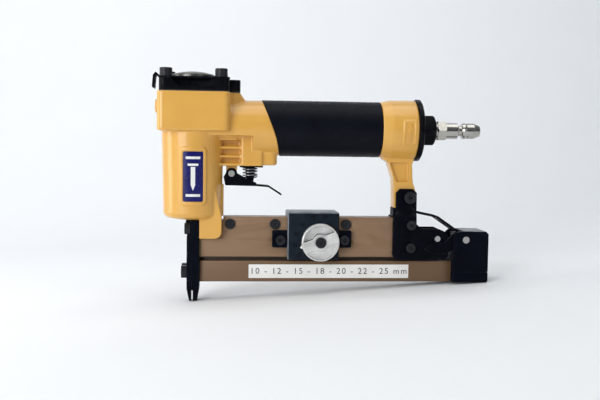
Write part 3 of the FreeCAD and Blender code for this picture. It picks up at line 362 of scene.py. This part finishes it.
def pebbled_rubber():
    f = Finish("pebbled_rubber", (0.0018, 0.0028, 0.0068), 0.40, 0.0, Specular_IOR_Level=0.10)
    tone = f.blend(f.band(f.noise(14, 3), 0.3, 0.7), (0.0012, 0.0020, 0.0055), (0.0026, 0.0038, 0.0080))
    dust = f.band(f.noise(1.8, 5, 0.7), 0.58, 0.8, (0.0, 0.2))
    f.colour(f.blend(dust, tone, (0.035, 0.037, 0.042)))
    f.roughness(f.band(f.noise(2.5, 3), 0.3, 0.7, (0.36, 0.50)))
    f.relief(f.cells(0.55), 0.06)
    return f.material


def plain_rubber():
    f = Finish("seal_rubber", (0.012, 0.012, 0.013), 0.55)
    f.colour(f.blend(f.noise(4, 3), (0.010, 0.010, 0.011), (0.022, 0.022, 0.024)))
    f.roughness(f.band(f.noise(2, 3), 0.3, 0.7, (0.48, 0.66)))
    f.relief(f.noise(0.7, 2), 0.015)
    return f.material


def bright_metal(name, colour, roughness, brushed=(1, 1, 1), wear=0.5):
    f = Finish(name, colour, roughness, 1.0)
    dark = tuple(c * 0.55 for c in colour)
    stain = f.band(f.noise(6, 5, 0.6), 0.52, 0.75, (0.0, wear))
    f.colour(f.blend(stain, colour, dark))
    grain = f.noise(0.9, 4, 0.6, brushed)
    f.roughness(f.band(grain, 0.3, 0.7, (roughness - 0.06, roughness + 0.1)))
    f.relief(grain, 0.008, 0.15)
    return f.material


def dial_face():
    """Machined dial: pale metal with fine turning marks, dirt in its corners and worn plating."""
    f = Finish("dial_face", (0.62, 0.615, 0.60), 0.36, 0.55)
    grain = f.noise(0.8, 5, 0.65, (1, 1, 3))
    tone = f.blend(f.band(f.noise(5, 4), 0.35, 0.7), (0.74, 0.735, 0.72), (0.60, 0.595, 0.58))
    spots = f.band(f.noise(1.6, 5, 0.75), 0.6, 0.72, (0.0, 0.6))
    tone = f.blend(spots, tone, (0.30, 0.28, 0.24))
    plating = f.maths("MULTIPLY", f.edges(0.5), f.band(f.noise(4, 3), 0.5, 0.68, (0.0, 0.8)))
    f.colour(f.blend(plating, tone, (0.42, 0.29, 0.10)))
    f.roughness(f.band(grain, 0.3, 0.7, (0.3, 0.48)))
    f.relief(grain, 0.02, 0.3)
    return f.material


def badge_navy():
    f = Finish("badge_navy", (0.001, 0.002, 0.095), 0.2, 0.0, Specular_IOR_Level=0.35)
    f.colour(f.blend(f.band(f.noise(9, 3), 0.3, 0.7), (0.0008, 0.0012, 0.080), (0.002, 0.003, 0.115)))
    f.roughness(f.band(f.noise(3, 4, 0.7), 0.5, 0.75, (0.2, 0.4)))
    f.relief(f.noise(2.0, 3), 0.01)
    return f.material


def print_white():
    f = Finish("badge_white", (0.78, 0.78, 0.76), 0.4)
    f.colour(f.blend(f.band(f.noise(1.5, 5, 0.7), 0.55, 0.75), (0.80, 0.80, 0.78), (0.55, 0.56, 0.60)))
    f.roughness(f.band(f.noise(2, 3), 0.3, 0.7, (0.34, 0.5)))
    return f.material


def label_paper():
    f = Finish("label_paper", (0.80, 0.79, 0.76), 0.45)
    tone = f.blend(f.band(f.noise(20, 4), 0.3, 0.7), (0.84, 0.83, 0.80), (0.76, 0.745, 0.715))
    f.colour(f.blend(f.band(f.noise(2.0, 5, 0.7), 0.62, 0.8, (0.0, 0.5)), tone, (0.56, 0.53, 0.48)))
    f.roughness(f.band(f.noise(5, 3), 0.3, 0.7, (0.42, 0.58)))
    f.relief(f.noise(0.5, 3, 0.6), 0.008)
    return f.material


def print_ink():
    f = Finish("print_ink", (0.018, 0.018, 0.02), 0.5)
    f.colour(f.blend(f.band(f.noise(0.8, 4, 0.7), 0.55, 0.8), (0.014, 0.014, 0.017), (0.07, 0.068, 0.065)))
    f.roughness(f.band(f.noise(2, 3), 0.3, 0.7, (0.45, 0.6)))
    return f.material


MATERIALS = {
    "enamel": yellow_enamel(), "oxide": black_oxide(), "gloss": black_gloss(), "sheet": sheet_black(),
    "block": block_black(), "anodised": brown_anodised(),
    # darker copy of the anodising for the lower rail: painted shade, as the upper rail stands in more light
    "anodised_lower_painted_shade": brown_anodised("brown_anodised_dark", (0.168, 0.098, 0.053)),
    # near-black copy of the anodising for the runner between the rails: painted shade
    "anodised_runner_painted_shade": brown_anodised("brown_anodised_gap", (0.036, 0.021, 0.012)),
    "grip": pebbled_rubber(), "rubber": plain_rubber(), "screw": screw_black(), "pale": block_painted_highlight(),
    "brass": brass_wear(),
    "chrome": bright_metal("chrome", (0.47, 0.455, 0.42), 0.14),
    "dull_steel": bright_metal("dull_steel", (0.52, 0.52, 0.50), 0.34),
    "spring": bright_metal("spring_steel", (0.34, 0.34, 0.35), 0.30, (0.3, 1, 1)),
    "aluminium": bright_metal("bare_aluminium", (0.72, 0.72, 0.71), 0.33, (1, 1, 0.1)),
    "dome": bright_metal("dome_steel", (0.15, 0.143, 0.132), 0.36, (1, 1, 1), 0.7),
    "dial": dial_face(), "navy": badge_navy(), "white": print_white(), "label": label_paper(),
    "ink": print_ink(),
}


# ---------------------------------------------------------------- mesh helpers

def mesh_object(name, vertices, faces, material):
    mesh = bpy.data.meshes.new(name)
    mesh.from_pydata([tuple(v) for v in vertices], [], faces)
    mesh.materials.append(material)
    mesh.validate()
    mesh.polygons.foreach_set("use_smooth", [True] * len(mesh.polygons))
    piece = bpy.data.objects.new(name, mesh)
    bpy.context.scene.collection.objects.link(piece)
    return piece


def settle(piece, body, slot, *nodes):
    """Attaches a finished piece to the body that it rides on and hides the CAD nodes that it stands for. The
    slot is not used.
    """
    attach(piece, body)
    if nodes:
        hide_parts(*nodes)
    return piece


def apply_modifiers(piece):
    bpy.context.view_layer.update()
    graph = bpy.context.evaluated_depsgraph_get()
    mesh = bpy.data.meshes.new_from_object(piece.evaluated_get(graph), depsgraph=graph)
    piece.modifiers.clear()
    old = piece.data
    piece.data = mesh
    mesh.name = old.name
    bpy.data.meshes.remove(old)


def node_slot(node):
    """Meant to give the record's material slot of a CAD node.

    The record's materials don't list their nodes, so no node matches and every one gets the first slot.
    """
    for material in frame["record"]["materials"]:
        if node in material.get("nodes", []):
            return material["slot"]
    return frame["record"]["materials"][0]["slot"]


def node_body(node):
    return frame["nodes"][node]["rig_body"]


def welded_copy(node, name):
    """A new object with the CAD node's mesh, its faces sewn together and flat ones merged."""
    shape = bmesh.new()
    shape.from_mesh(frame["nodes"][node].data)
    bmesh.ops.remove_doubles(shape, verts=shape.verts, dist=0.002 * MM)
    bmesh.ops.dissolve_limit(shape, angle_limit=math.radians(0.4), verts=shape.verts, edges=shape.edges)
    mesh = bpy.data.meshes.new(name)
    shape.to_mesh(mesh)
    shape.free()
    piece = bpy.data.objects.new(name, mesh)
    bpy.context.scene.collection.objects.link(piece)
    return piece


def softened(node, material, width_mm):
    """Stands for a CAD node, with the small edge rounding that the real piece has."""
    piece = welded_copy(node, node + "_finished")
    piece.data.materials.clear()
    piece.data.materials.append(material)
    bevel = piece.modifiers.new("edges", "BEVEL")
    bevel.width = width_mm * MM
    bevel.segments = 2
    bevel.limit_method = "ANGLE"
    bevel.angle_limit = math.radians(32)
    apply_modifiers(piece)
    shade(piece, 30)
    return settle(piece, node_body(node), node_slot(node), node)


def shade(piece, degrees):
    """Smooth shading, with edges sharper than degrees kept sharp."""
    shape = bmesh.new()
    shape.from_mesh(piece.data)
    for face in shape.faces:
        face.smooth = True
    for edge in shape.edges:
        edge.smooth = not edge.is_manifold or edge.calc_face_angle(0.0) < math.radians(degrees)
    shape.to_mesh(piece.data)
    shape.free()


def helix(name, at, axis, middle_r, wire_r, length, turns, sides=10, per_turn=28):
    """Round-wire spring with flattened end turns, built about axis from its first end."""
    side = X if abs(axis.x) < 0.5 else Z
    other = axis.cross(side)
    count = round(turns * per_turn)
    rise = length - 2 * wire_r
    closing = 0.45                         # how much closer the end turns lie
    vertices, faces = [], []
    for k in range(count + 1):
        t = k / count
        eased = t - closing * math.sin(2 * math.pi * t) / (2 * math.pi)
        a = 2 * math.pi * turns * t
        out = side * math.cos(a) + other * math.sin(a)
        centre = out * middle_r + axis * (wire_r + rise * eased)
        for s in range(sides):
            b = 2 * math.pi * s / sides
            vertices.append((Vector(at) + centre + (out * math.cos(b) + axis * math.sin(b)) * wire_r) * MM)
    for k in range(count):
        for s in range(sides):
            n = (s + 1) % sides
            faces.append((k * sides + s, k * sides + n, (k + 1) * sides + n, (k + 1) * sides + s))
    faces.append(tuple(range(sides)))
    faces.append(tuple(count * sides + s for s in reversed(range(sides))))
    piece = mesh_object(name, vertices, faces, MATERIALS["spring"])
    fix_normals(piece)
    return piece


def fix_normals(piece):
    shape = bmesh.new()
    shape.from_mesh(piece.data)
    bmesh.ops.recalc_face_normals(shape, faces=shape.faces)
    shape.to_mesh(piece.data)
    shape.free()


# ---------------------------------------------------------------- pieces

def close_bores(piece):
    """Fills the two hidden screw bores in the nose cheeks, whose walls are too thin to blend."""
    bore_x, bore_y, bore_z = 12.2, 10.8, 55.0
    bore_r, bore_length = 2.7 * MM, 13.4 * MM
    shape = bmesh.new()
    shape.from_mesh(piece.data)
    for side in (-1, 1):
        place = Matrix.Translation(mm(bore_x, side * bore_y, bore_z)) @ Matrix.Rotation(math.pi / 2, 4, "Y")
        bmesh.ops.create_cone(shape, cap_ends=True, segments=24, radius1=bore_r, radius2=bore_r,
                              depth=bore_length, matrix=place)
    shape.to_mesh(piece.data)
    shape.free()


def casting():
    """The die casting with the soft blends between its masses that a mould leaves."""
    piece = welded_copy("body_casting", "casting")
    close_bores(piece)
    remesh = piece.modifiers.new("blend", "REMESH")
    remesh.mode = "VOXEL"
    remesh.voxel_size = 0.5 * MM
    remesh.use_smooth_shade = True
    smooth = piece.modifiers.new("smooth", "SMOOTH")
    smooth.factor = 0.5
    smooth.iterations = 5
    apply_modifiers(piece)
    piece.data.materials.clear()
    piece.data.materials.append(MATERIALS["enamel"])
    return settle(piece, "body", node_slot("body_casting"), "body_casting")


def grip():
    """Pebbled rubber sleeve with a bent, slanted front edge and every pebble in its surface."""
    low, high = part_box("grip_sleeve")
    axis_z = (low.z + high.z) / 2
    outer, inner = (high.y - low.y) / 2, 18.25 * MM
    back = high.x
    top, bend, bottom = (50.6, 150.0), (61.2, 121.5), (64.0, 108.6)     # the front edge, as (x, z)
    pebble_size, pebble_depth, steepness = 1.25 * MM, 0.16 * MM, 1.7
    pitch = 0.36 * MM
    around = round(2 * math.pi * outer / pitch)
    along = round((back - low.x) / pitch)
    lip = 0.7 * MM
    vertices, faces = [], []

    def front(z):
        (xa, za), (xb, zb) = (top, bend) if z > bend[1] * MM else (bend, bottom)
        return (xa + (xb - xa) / (zb - za) * (z / MM - za)) * MM

    def pebble(point):
        near = noise.voronoi(point / pebble_size)[0]
        return min(1.0, (near[1] - near[0]) * steepness)

    rows = []
    for i in range(along + 1):
        t = i / along
        row = []
        for k in range(around):
            a = 2 * math.pi * k / around
            direction = Vector((0, math.sin(a), math.cos(a)))
            start = front(axis_z + outer * direction.z)
            x = start + (back - start) * t
            end_gap = min(x - start, back - x)
            rounding = 0.0 if end_gap >= lip else lip - math.sqrt(max(0.0, lip ** 2 - (lip - end_gap) ** 2))
            point = Vector((x, 0, axis_z)) + direction * outer
            depth = pebble_depth * (1 - pebble(point)) * min(1.0, end_gap / (2 * lip))
            row.append(len(vertices))
            vertices.append(Vector((x, 0, axis_z)) + direction * (outer - rounding - depth))
        rows.append(row)
    for x_of in (lambda z: back, front):
        row = []
        for k in range(around):
            a = 2 * math.pi * k / around
            direction = Vector((0, math.sin(a), math.cos(a)))
            row.append(len(vertices))
            vertices.append(Vector((x_of(axis_z + inner * direction.z), 0, axis_z)) + direction * inner)
        rows.append(row)
    rows.append(rows[0])
    for lower, upper in zip(rows, rows[1:]):
        for k in range(around):
            n = (k + 1) % around
            faces.append((lower[k], lower[n], upper[n], upper[k]))
    piece = mesh_object("grip_rubber", vertices, faces, MATERIALS["grip"])
    fix_normals(piece)
    return settle(piece, "body", node_slot("grip_sleeve"), "grip_sleeve")


def springs():
    """The four springs, each built as a coil in place of its CAD node."""
    head = helix("head_spring", (0, 0, 154.6), Z, middle_r=15.4, wire_r=0.6, length=5.5, turns=2.5)
    settle(head, "body", node_slot("head_valve_spring"), "head_valve_spring")
    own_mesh(head)
    trigger = helix("trigger_coil", (42.5, 0, 93.0), Z, middle_r=5.2, wire_r=0.5, length=7.1, turns=3.5)
    settle(trigger, "body", node_slot("trigger_spring"), "trigger_spring")
    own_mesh(trigger)
    low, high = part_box("pusher_spring")
    start, length = low.x / MM, (high.x - low.x) / MM
    pusher = helix("pusher_coil", (start, 0, 21.3), X, middle_r=2.1, wire_r=0.3, length=length, turns=36,
                   sides=8, per_turn=20)
    settle(pusher, "magazine", node_slot("pusher_spring"), "pusher_spring")
    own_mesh(pusher)
    latch = helix("latch_coil", (198.6, 0, 41.0), Z, middle_r=2.2, wire_r=0.35, length=12.2, turns=6,
                  sides=8, per_turn=20)
    settle(latch, "magazine", node_slot("latch_spring"), "latch_spring")
    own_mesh(latch)


def barrel_point(x, z, lift):
    """Point on the -Y side of the drafted barrel, lift above its skin, in mm."""
    radius = BARREL_R + BARREL_DRAFT * (z - BARREL_FOOT) / BARREL_HEIGHT + lift
    return Vector((x, -math.sqrt(radius ** 2 - x ** 2), z))


def rear_point(x, z, lift):
    """Point on the -Y side of the round rear end of the handle, lift above its skin, in mm."""
    return Vector((x, -math.sqrt((REAR_SKIN_R + lift) ** 2 - (z - HANDLE_Z) ** 2), z))


def curved_patch(name, outline, surface, lift, thickness, material):
    """Thin plate that follows a round surface, from an (x, z) outline in mm, cut into narrow strips."""
    strip = 0.8
    shape = bmesh.new()
    shape.faces.new([shape.verts.new((x, 0, z)) for x, z in outline])
    for axis in (X, Z):
        reach = [axis.dot(v.co) for v in shape.verts]
        low, high = min(reach), max(reach)
        steps = max(2, round((high - low) / strip))
        for k in range(1, steps):
            bmesh.ops.bisect_plane(shape, geom=shape.verts[:] + shape.edges[:] + shape.faces[:],
                                   plane_co=axis * (low + (high - low) * k / steps), plane_no=axis)
    made = bmesh.ops.extrude_face_region(shape, geom=shape.faces[:])
    outside = {v for v in made["geom"] if isinstance(v, bmesh.types.BMVert)}
    for v in shape.verts:
        height = lift + (thickness if v in outside else 0.0)
        v.co = surface(v.co.x, v.co.z, height) * MM
    bmesh.ops.recalc_face_normals(shape, faces=shape.faces)
    mesh = bpy.data.meshes.new(name)
    shape.to_mesh(mesh)
    shape.free()
    mesh.materials.append(material)
    piece = bpy.data.objects.new(name, mesh)
    bpy.context.scene.collection.objects.link(piece)
    return piece


def badge_mark():
    """A plain pin pictogram between two lines, in white on the navy badge."""
    low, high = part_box("badge_plate")
    left, right, bottom, top = low.x / MM, high.x / MM, low.z / MM, high.z / MM
    middle, width = (left + right) / 2, right - left
    margin = 0.14 * width
    stripe = 0.05 * (top - bottom)
    shapes = []
    for z in (bottom + 0.10 * (top - bottom), top - 0.10 * (top - bottom) - stripe):
        shapes.append([(left + margin, z), (right - margin, z), (right - margin, z + stripe),
                       (left + margin, z + stripe)])
    head_z, tip_z, half = top - 0.24 * (top - bottom), bottom + 0.22 * (top - bottom), 0.11 * width
    shapes.append([(middle - 2.4 * half, head_z - 1.6), (middle + 2.4 * half, head_z - 1.6),
                   (middle + 2.4 * half, head_z), (middle - 2.4 * half, head_z)])
    shapes.append([(middle - half, tip_z + 4), (middle, tip_z), (middle + half, tip_z + 4),
                   (middle + half, head_z - 2.4), (middle - half, head_z - 2.4)])
    for k, outline in enumerate(shapes):
        piece = curved_patch(f"badge_mark_{k + 1}", outline, barrel_point, lift=0.69, thickness=0.08,
                             material=MATERIALS["white"])
        settle(piece, "body", node_slot("badge_plate"))


def oil_mark():
    """Raised arrow and drop in the frame on the rear of the handle, where oil goes in at the inlet."""
    middle, foot, shoulder, tip = 158.8, 120.6, 124.0, 127.0
    drop_z, drop_r, drop_tip = 129.9, 2.1, 133.9
    arrow = [(middle - 0.7, foot), (middle + 0.7, foot), (middle + 0.7, shoulder), (middle + 2.2, shoulder),
             (middle, tip), (middle - 2.2, shoulder), (middle - 0.7, shoulder)]
    drop = [(middle + drop_r * math.cos(a), drop_z + drop_r * math.sin(a)) for a in
            [math.radians(d) for d in range(145, 396, 25)]] + [(middle, drop_tip)]
    for k, outline in enumerate((arrow, drop)):
        piece = curved_patch(f"oil_mark_{k + 1}", outline, rear_point, lift=-0.1, thickness=0.55,
                             material=MATERIALS["enamel"])
        settle(piece, "body", node_slot("body_casting"))


def lettering(name, text, size_mm, depth_mm, place, material, body, slot, spacing=1.0):
    """Generic figures as thin solid shapes. Place turns the text's plane, read from +Z, into the frame."""
    curve = bpy.data.curves.new(name, "FONT")
    curve.body = text
    curve.size = size_mm * MM
    curve.extrude = depth_mm * MM / 2
    curve.align_x = "CENTER"
    curve.align_y = "CENTER"
    curve.space_character = spacing
    curve.resolution_u = 3
    source = bpy.data.objects.new(name + "_source", curve)
    bpy.context.scene.collection.objects.link(source)
    bpy.context.view_layer.update()
    graph = bpy.context.evaluated_depsgraph_get()
    mesh = bpy.data.meshes.new_from_object(source.evaluated_get(graph), depsgraph=graph)
    bpy.data.objects.remove(source)
    mesh.transform(place)
    mesh.materials.clear()
    mesh.materials.append(material)
    mesh.name = name
    piece = bpy.data.objects.new(name, mesh)
    bpy.context.scene.collection.objects.link(piece)
    return settle(piece, body, slot)


def facing_near(x, y, z):
    """Placement of text on a face whose outside looks along -Y."""
    return Matrix.Translation(mm(x, y, z)) @ Matrix.Rotation(math.pi / 2, 4, "X")


def label_print():
    low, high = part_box("rail_label")
    x, z = (low.x + high.x) / 2 / MM, (low.z + high.z) / 2 / MM
    text = "10 - 12 - 15 - 18 - 20 - 22 - 25 mm"
    lettering("label_print", text, 6.4, 0.05, facing_near(x, low.y / MM - 0.02, z),
              MATERIALS["ink"], "magazine", "label_white", 1.26)


def paint_faces(piece, finish, chosen):
    """Gives a finish to the faces for which chosen(centre in mm, normal) is true."""
    piece.data.materials.append(MATERIALS[finish])
    index = len(piece.data.materials) - 1
    for face in piece.data.polygons:
        if chosen(face.center / MM, face.normal):
            face.material_index = index


def paint_dial(piece):
    """White pointer, painted shade on the steps beside the grip bar and some plating left on the rim."""
    rim, pointer_root, plated_from = 13.2, 14.1, 100

    def reach(c):
        return math.hypot(c.x - DIAL_CENTRE[0], c.z - DIAL_CENTRE[1])

    # painted shade: the side walls of the steps inside the rim get the black oxide finish
    paint_faces(piece, "oxide", lambda c, n: abs(n.y) < 0.5 and reach(c) < rim)
    paint_faces(piece, "brass", lambda c, n: abs(n.y) < 0.5 and reach(c) > rim and c.x > plated_from)
    paint_faces(piece, "white", lambda c, n: reach(c) > pointer_root)


def paint_block(piece):
    """Blackened ears, and a painted grey highlight on the top of the block and on its side towards the nose.
    """
    front, rear, top = 70.1, 108.7, 66.8
    paint_faces(piece, "oxide", lambda c, n: c.x < front or c.x > rear)
    # painted highlight: the upward faces and the face towards the nose and the window light turn grey
    paint_faces(piece, "pale",
                lambda c, n: c.z > top and n.z > 0.3 or front - 0.1 < c.x < front + 1 and n.x < -0.3)


def paint_lower_rail(piece):
    """Paints shade on the runner between the two rails, which stands in the dark, as a near-black copy of
    the anodising.
    """
    runner_foot = 30.95
    # painted shade on every face above the runner's foot
    paint_faces(piece, "anodised_runner_painted_shade", lambda c, n: c.z > runner_foot)


def paint_end_block(piece):
    """Its top faces get the painted grey highlight."""
    top = 53
    # painted highlight on the upward faces of the top
    paint_faces(piece, "pale", lambda c, n: n.z > 0.5 and c.z > top)


def dial_numerals():
    """Pin lengths moulded on the block round the upper left of the dial."""
    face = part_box("dial_block")[0].y / MM
    radius = 19.0
    for text, angle in (("10", 211), ("12", 187), ("15", 162), ("18", 136), ("20", 108), ("25", 80)):
        a = math.radians(angle)
        x, z = DIAL_CENTRE[0] + radius * math.cos(a), DIAL_CENTRE[1] + radius * math.sin(a)
        lettering("numeral_" + text, text, 3.9, 0.3, facing_near(x, face - 0.08, z),
                  MATERIALS["gloss"], "body", node_slot("dial_block"))


# ---------------------------------------------------------------- finishes of the CAD nodes

FINISHES = {
    "oxide": ["nose_front_plate", "nose_rear_plate", "dial_shaft", "valve_guide", "valve_stem", "leg_spacer",
              "end_block", "pusher", "pin_length_guide"],
    "screw": ["nose_screws_upper", "nose_screws_lower", "rail_screws", "cap_screws", "cap_washers",
              "ear_screws", "leg_screws", "bracket_screws", "dial_screw"],
    "gloss": ["cylinder_cap", "inlet_end_cap"],
    "sheet": ["exhaust_deflector", "trigger", "rear_bracket", "latch_lever"],
    "block": ["dial_block"],
    "anodised": ["upper_rail"],
    # the lower rail gets the darker copy of the anodising as painted shade
    "anodised_lower_painted_shade": ["lower_rail"],
    "rubber": ["cap_gasket", "head_valve_seal", "sleeve_seals", "bumper", "piston_ring", "stem_seal",
               "end_cap_seal"],
    "chrome": ["air_plug", "driver_blade", "driver_pin"],
    "dull_steel": ["latch_pin", "latch_pivot", "trigger_pin", "pusher_rod"],
    "aluminium": ["head_valve", "cylinder_sleeve", "piston"],
    "dome": ["exhaust_dome"],
    "dial": ["dial"],
    "navy": ["badge_plate"],
    "label": ["rail_label"],
    "enamel": ["body_casting"],
    "grip": ["grip_sleeve"],
    "spring": ["head_valve_spring", "trigger_spring", "pusher_spring", "latch_spring"],
}


def finish_nodes():
    for finish, nodes in FINISHES.items():
        for node in nodes:
            mesh = frame["nodes"][node].data
            if not mesh.materials:
                mesh.materials.append(MATERIALS[finish])
            for slot in frame["nodes"][node].material_slots:
                slot.material = MATERIALS[finish]


SOFTENED = {
    "upper_rail": ("anodised", 0.25), "lower_rail": ("anodised_lower_painted_shade", 0.25), "dial_block": ("block", 0.3),
    "end_block": ("oxide", 0.25), "rear_bracket": ("sheet", 0.2), "nose_front_plate": ("oxide", 0.2),
    "nose_rear_plate": ("oxide", 0.2), "leg_spacer": ("oxide", 0.3), "cylinder_cap": ("gloss", 0.5),
    "exhaust_deflector": ("sheet", 0.2), "latch_lever": ("sheet", 0.2), "trigger": ("sheet", 0.2),
    "dial": ("dial", 0.25), "inlet_end_cap": ("gloss", 0.3),
}

PAINT = {"dial": paint_dial, "dial_block": paint_block, "lower_rail": paint_lower_rail,
         "end_block": paint_end_block}

make_camera()
make_floor()
make_lights()
finish_nodes()
casting()
grip()
springs()
badge_mark()
oil_mark()
label_print()
dial_numerals()
for softened_node, (finish_name, edge_mm) in SOFTENED.items():
    finished = softened(softened_node, MATERIALS[finish_name], edge_mm)
    if softened_node in PAINT:
        PAINT[softened_node](finished)
